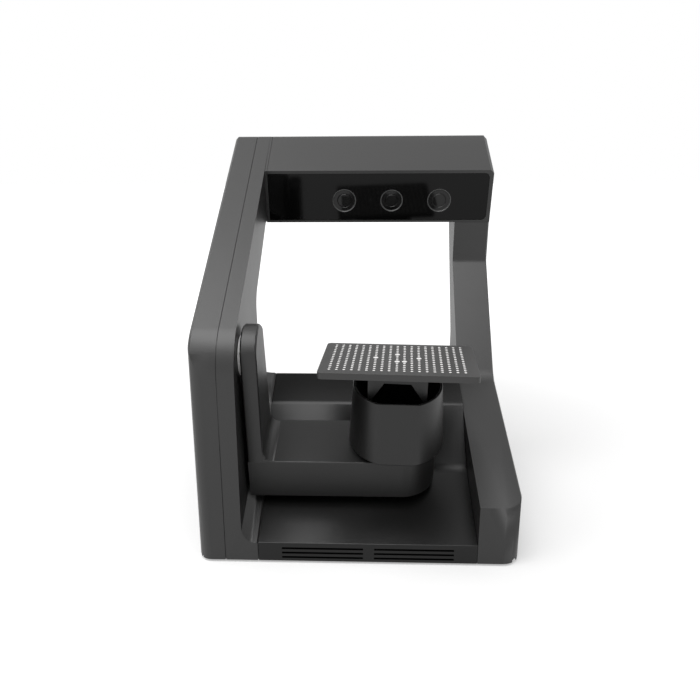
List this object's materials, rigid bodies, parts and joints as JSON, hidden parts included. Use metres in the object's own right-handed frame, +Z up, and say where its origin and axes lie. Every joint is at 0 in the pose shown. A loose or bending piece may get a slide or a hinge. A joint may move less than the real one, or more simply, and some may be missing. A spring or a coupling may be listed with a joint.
{
  "type": "desktop 3d scanner",
  "caption": "Open C-framed desktop scanner: a sensor head on two side walls looks down on a cup turntable carried by a motorised swing arm, with a dotted calibration board on a bracket.",
  "frame": {"origin": "on the table, under the middle of the overall box", "axes": "+X to the right seen from the front, +Y to the rear, +Z up"},
  "size_m": [0.26, 0.2778, 0.3372],
  "materials": {
    "body_plastic": "fine grain charcoal",
    "tray_plastic": "fine grain charcoal",
    "arm_plastic": "fine grain charcoal",
    "cup_plastic": "soft matt dark grey",
    "sheet_metal": "black powder coat",
    "board_face": "dark grey laminate with light dots",
    "window_glass": "dark gloss",
    "lens_ring": "satin black",
    "lens_glass": "coated glass",
    "black_metal": "matt black anodised",
    "rubber": "matt",
    "steel": "brushed",
    "bearing": "sintered",
    "gear_plastic": "natural acetal",
    "bench_metal": "machined",
    "circuit": "green laminate with parts",
    "electronics": "black moulding"
  },
  "bodies": {
    "housing": {"base_plate": "sheet_metal", "rubber_feet": "rubber", "base_tray": "tray_plastic", "rear_panel": "body_plastic", "power_inlet": "electronics", "data_socket": "electronics", "switch_frame": "electronics", "main_board": "circuit", "heat_sink": "bench_metal", "blower_housing": "electronics", "left_outer_shell": "body_plastic", "left_inner_shell": "body_plastic", "right_arm_shell": "body_plastic", "head_front_cover": "body_plastic", "head_rear_cover": "body_plastic", "window_panel": "window_glass", "lens_rings": "lens_ring", "optical_bench": "bench_metal", "projector_body": "black_metal", "camera_body_left": "black_metal", "camera_barrel_left": "black_metal", "camera_lens_left": "lens_glass", "camera_body_right": "black_metal", "camera_barrel_right": "black_metal", "camera_lens_right": "lens_glass", "projector_barrel": "black_metal", "projector_lens": "lens_glass", "pivot_drive_plate": "steel", "pivot_bearings": "bearing", "pivot_motor": "steel"},
    "swing_arm": {"pivot_gear": "gear_plastic", "pivot_shaft": "steel", "arm_collar": "gear_plastic", "arm_shell": "arm_plastic", "arm_bottom_cover": "arm_plastic", "table_bearing": "bearing", "table_motor": "steel"},
    "turntable": {"table_gear": "gear_plastic", "table_shaft": "steel", "object_cup": "cup_plastic"},
    "calibration_plate": {"calibration_bracket": "sheet_metal", "calibration_board": "board_face"},
    "pivot_pinion": {"pivot_pinion": "gear_plastic"},
    "table_pinion": {"table_pinion": "gear_plastic"},
    "blower_rotor": {"blower_rotor": "electronics"},
    "power_rocker": {"power_rocker": "electronics"}
  },
  "joints": [
    {"name": "arm_tilt", "type": "hinge", "parent": "housing", "child": "swing_arm", "pos_m": [-0.09, -0.1001, 0.1659], "axis": [1, 0, 0], "range_deg": [-62, 3]},
    {"name": "pivot_pinion_spin", "type": "hinge", "parent": "housing", "child": "pivot_pinion", "pos_m": [-0.108, -0.09284, 0.13679], "axis": [1, 0, 0], "range_deg": [-14, 188]},
    {"name": "turntable_spin", "type": "hinge", "parent": "swing_arm", "child": "turntable", "pos_m": [0.031, -0.07833, 0.07857], "axis": [0, -0.2419, 0.9703], "continuous": true},
    {"name": "table_pinion_spin", "type": "hinge", "parent": "swing_arm", "child": "table_pinion", "pos_m": [0.011, -0.07591, 0.06887], "axis": [0, -0.2419, 0.9703], "continuous": true},
    {"name": "calibration_lift", "type": "slide", "parent": "turntable", "child": "calibration_plate", "axis": [0, -0.2419, 0.9703], "range_m": [0, 0.06]},
    {"name": "blower_spin", "type": "hinge", "parent": "housing", "child": "blower_rotor", "pos_m": [-0.028, -0.0881, 0.008], "axis": [0, 0, 1], "continuous": true},
    {"name": "power_switch", "type": "hinge", "parent": "housing", "child": "power_rocker", "pos_m": [-0.034, 0.0787, 0.03], "axis": [0, 0, 1], "range_deg": [0, 16]}
  ],
  "couplings": [
    {"joint": "pivot_pinion_spin", "follows": "arm_tilt", "ratio": -3},
    {"joint": "table_pinion_spin", "follows": "turntable_spin", "ratio": -2.3333}
  ]
}
